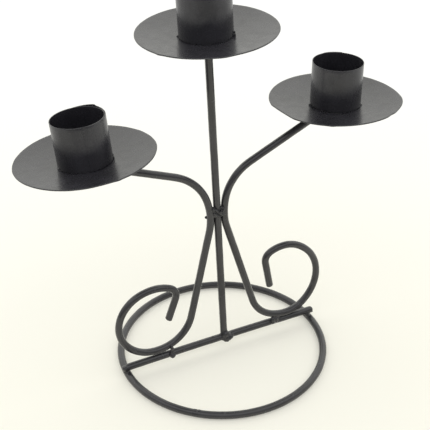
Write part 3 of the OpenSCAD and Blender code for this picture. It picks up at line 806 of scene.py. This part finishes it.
TALL_TACK = 0.9    # size above which a tack has a second, smaller blob above the first
for n, (name, (at, _, tacks)) in enumerate(CUP.items()):
    m, cm = pan_frames[name], cup_frames[name]
    top = lambda p, q=m: np.abs(above_pan(q, p) - PAN_T / 2) - PAN_T / 2
    wall = lambda p, q=cm: np.abs(off_axis(q, p) - CUP_R + CUP_T / 2) - CUP_T / 2
    under = lambda p, q=m: PAN_T * 0.4 - above_pan(q, p)
    behind = lambda p, q=cm: CUP_R - CUP_T * 0.8 - off_axis(q, p)
    for k, (a, size) in enumerate(tacks):
        out = CUP_R + 0.05 + 0.15 * size
        foot = (at[0] + out * cos(radians(a)), at[1] + out * sin(radians(a)), sag(CUP_R) + PAN_T)
        blobs = [(0.4 * size, 0.7 * size ** 0.5)] + ([(1.6, 0.55)] if size > TALL_TACK else [])
        blobs = [(*place(m @ move(*foot), (0, 0, z)), r) for z, r in blobs]
        weld(f"{name}_cup_tack_{k + 1}", name + "_cup_tacks",
             np.mean([blob[:3] for blob in blobs], axis=0), blobs, [top, wall], 3.0,
             80 + 4 * n + k, fillet=0.3, rough=0.04, keep=[under, behind], rows=40, cols=40,
             melt=0.5)

# Butt weld of the ring: a low swelling with a groove across it, on the wire's upper side
SEAM_ROWS, SEAM_SWELL, SEAM_SINK = 40, 0.16, 0.04
GROOVE_AT, GROOVE_W, GROOVE_DEPTH = 0.55, 0.04, 0.22
span = SEAM_W / RING_R
a = np.linspace(radians(SEAM_A) - 0.4 * span, radians(SEAM_A) + 1.4 * span, SEAM_ROWS)
way = np.linspace(0, 1, SEAM_ROWS)
swell = SEAM_SWELL * np.sin(pi * way) ** 0.6 - SEAM_SINK
swell -= GROOVE_DEPTH * np.exp(-0.5 * ((way - GROOVE_AT) / GROOVE_W) ** 2)
c, out = ring_points(a), outwards(a)
r = RING_WIRE_R + swell[:, None] * ease(np.sin(tube_a), -0.6, 0.0)
grid = c[:, None] + r[..., None] * circle(tube_a, out[:, None], UP)
grid += 0.04 * ripple(grid.reshape(-1, 3), 1.2, 91).reshape(SEAM_ROWS, -1, 1) * out[:, None]
grid[..., 2] = np.maximum(grid[..., 2], 0.02)
piece("ring_seam_bead", "ring_seam_weld", grid, "weld_paint", (c[0], c[-1]))

# Two drops of spatter: one on the left wire below the waist, one on top of the crossbar
for name, node, c, r in (("waist_spatter", "left_waist_weld", (-6.24, 4.22, 79.5), 0.72),
                         ("bar_spatter", "foot_weld", (-4.8, 1.2, 8.0), 0.4)):
    weld(name, node, c, [(*c, r)], [], 1.0, 95, rough=0.02, rows=20, cols=24)

# ---- Camera --------------------------------------------------------------------------
azimuth, elevation, roll = radians(-25.89), radians(32.67), radians(-0.34)
back = np.array([sin(azimuth) * cos(elevation), -cos(azimuth) * cos(elevation), sin(elevation)])
right = np.array([cos(azimuth), sin(azimuth), 0.0])
up = np.cross(back, right)
right, up = cos(roll) * right + sin(roll) * up, -sin(roll) * right + cos(roll) * up
camera = bpy.data.objects.new("photo_camera", bpy.data.cameras.new("photo_camera"))
bpy.context.scene.collection.objects.link(camera)
view = np.eye(4)
view[:3] = np.stack([right, up, back, (-0.18205, -0.36778, 0.34470)], 1)
camera.matrix_world = Matrix(view.tolist())
camera.data.sensor_width = 36
camera.data.lens = 85.80
camera.data.clip_start = 0.01
bpy.context.scene.camera = camera

# ---- Studio --------------------------------------------------------------------------
# The table ends in front of the stand, below the camera; all lengths here in metres
TABLE_FRONT, TABLE_SIZE = 0.6, 3.0
behind = np.array([-back[0], -back[1], 0]) / hypot(back[0], back[1])
aside = np.array([cos(azimuth), sin(azimuth), 0])
corners = [behind * d + aside * w for d, w in (
    (-TABLE_FRONT, -TABLE_SIZE), (-TABLE_FRONT, TABLE_SIZE),
    (TABLE_SIZE, TABLE_SIZE), (TABLE_SIZE, -TABLE_SIZE))]
floor_mesh = bpy.data.meshes.new("studio_floor")
floor_mesh.from_pydata([c.tolist() for c in corners], [], [(0, 1, 2, 3)])
floor_mat = bpy.data.materials.new("floor_paper")
floor_mat.use_nodes = True
table = floor_mat.node_tree
paper = table.nodes["Principled BSDF"]
# Painted shade: the paper's base colour is creamier and a little darker near a point 0.15 m in
# front of the stand, and fades between 0.15 and 0.55 m out to a whiter paper, over the paper's own
# cream tone
spot = add(table, "ShaderNodeTexCoord")
away = add(table, "ShaderNodeVectorMath", {0: spot.outputs["Object"], 1: (-0.05, -0.15, 0)},
           operation="DISTANCE")
painted_shade_fade = add(table, "ShaderNodeMapRange", {
    "Value": away.outputs["Value"], "From Min": 0.15, "From Max": 0.55},
    interpolation_type="SMOOTHSTEP")
cream_with_painted_shade = add(table, "ShaderNodeMix", {
    "A": (0.98, 0.965, 0.87, 1), "B": (0.99, 0.99, 0.975, 1), "Factor": painted_shade_fade.outputs["Result"]},
    data_type="RGBA").outputs["Result"]
table.links.new(cream_with_painted_shade, paper.inputs["Base Color"])
paper.inputs["Roughness"].default_value = 0.9
paper.inputs["Specular IOR Level"].default_value = 0.1
# The backdrop's glow, in the paper's colour with its painted shade, for the camera and in
# reflections, under the shadow that it keeps
GLOW_SHARE = 0.32
glow = add(table, "ShaderNodeEmission", {"Color": cream_with_painted_shade})
seen_by = add(table, "ShaderNodeLightPath")
either = add(table, "ShaderNodeMath", {
    0: seen_by.outputs["Is Camera Ray"], 1: seen_by.outputs["Is Glossy Ray"]},
    operation="MAXIMUM")
part = add(table, "ShaderNodeMath", {0: either.outputs[0], 1: GLOW_SHARE}, operation="MULTIPLY")
both = add(table, "ShaderNodeMixShader", {
    0: part.outputs[0], 1: paper.outputs[0], 2: glow.outputs[0]})
table.links.new(both.outputs[0], table.nodes["Material Output"].inputs["Surface"])
floor_mesh.materials.append(floor_mat)
floor = bpy.data.objects.new("studio_floor", floor_mesh)
bpy.context.scene.collection.objects.link(floor)

world = bpy.data.worlds.new("studio_sky")
bpy.context.scene.world = world
world.use_nodes = True
sky = world.node_tree
sky.nodes.clear()
coord = add(sky, "ShaderNodeTexCoord").outputs["Generated"]
split = add(sky, "ShaderNodeSeparateXYZ", {0: coord})


def sky_ramp(stops, warmth):
    """Brightness of one side of the studio, by the sine of the elevation."""
    ramp = add(sky, "ShaderNodeValToRGB", {0: split.outputs["Z"]})
    elements = ramp.color_ramp.elements
    elements[0].position, elements[1].position = stops[0][0], stops[-1][0]
    for position, _ in stops[1:-1]:
        elements.new(position)
    for element, (_, value) in zip(elements, stops):
        element.color = (value, value, warmth * value, 1)
    return ramp.outputs["Color"]


# The wall of light behind the stand, and on the camera's side a dim room under a lit ceiling
far_side = sky_ramp([(0.0, 1.0), (0.09, 1.08), (0.26, 1.25), (0.42, 1.4), (0.57, 1.5),
                     (0.72, 1.4), (0.87, 1.1), (0.97, 0.8), (1.0, 0.8)], 0.95)
near_side = sky_ramp([(0.0, 0.12), (0.12, 0.25), (0.42, 0.45), (0.57, 0.8), (0.72, 1.35),
                      (0.87, 1.4), (0.97, 0.9), (1.0, 0.8)], 1.0)
facing = add(sky, "ShaderNodeVectorMath", {0: coord, 1: (0.4366, 0.8996, 0)},
             operation="DOT_PRODUCT")
share = add(sky, "ShaderNodeMapRange", {
    "Value": facing.outputs["Value"], "From Min": -0.5, "From Max": 0.5},
    interpolation_type="SMOOTHSTEP")
sides = add(sky, "ShaderNodeMix", {
    "Factor": share.outputs["Result"], "A": near_side, "B": far_side}, data_type="RGBA")
soft = add(sky, "ShaderNodeBackground", {"Color": sides.outputs["Result"]})
white = add(sky, "ShaderNodeBackground", {"Color": (1, 1, 0.97, 1)})
path = add(sky, "ShaderNodeLightPath")
mix = add(sky, "ShaderNodeMixShader", {
    0: path.outputs["Is Camera Ray"], 1: soft.outputs[0], 2: white.outputs[0]})
add(sky, "ShaderNodeOutputWorld", {"Surface": mix.outputs[0]})

bpy.context.scene.view_settings.view_transform = "Standard"
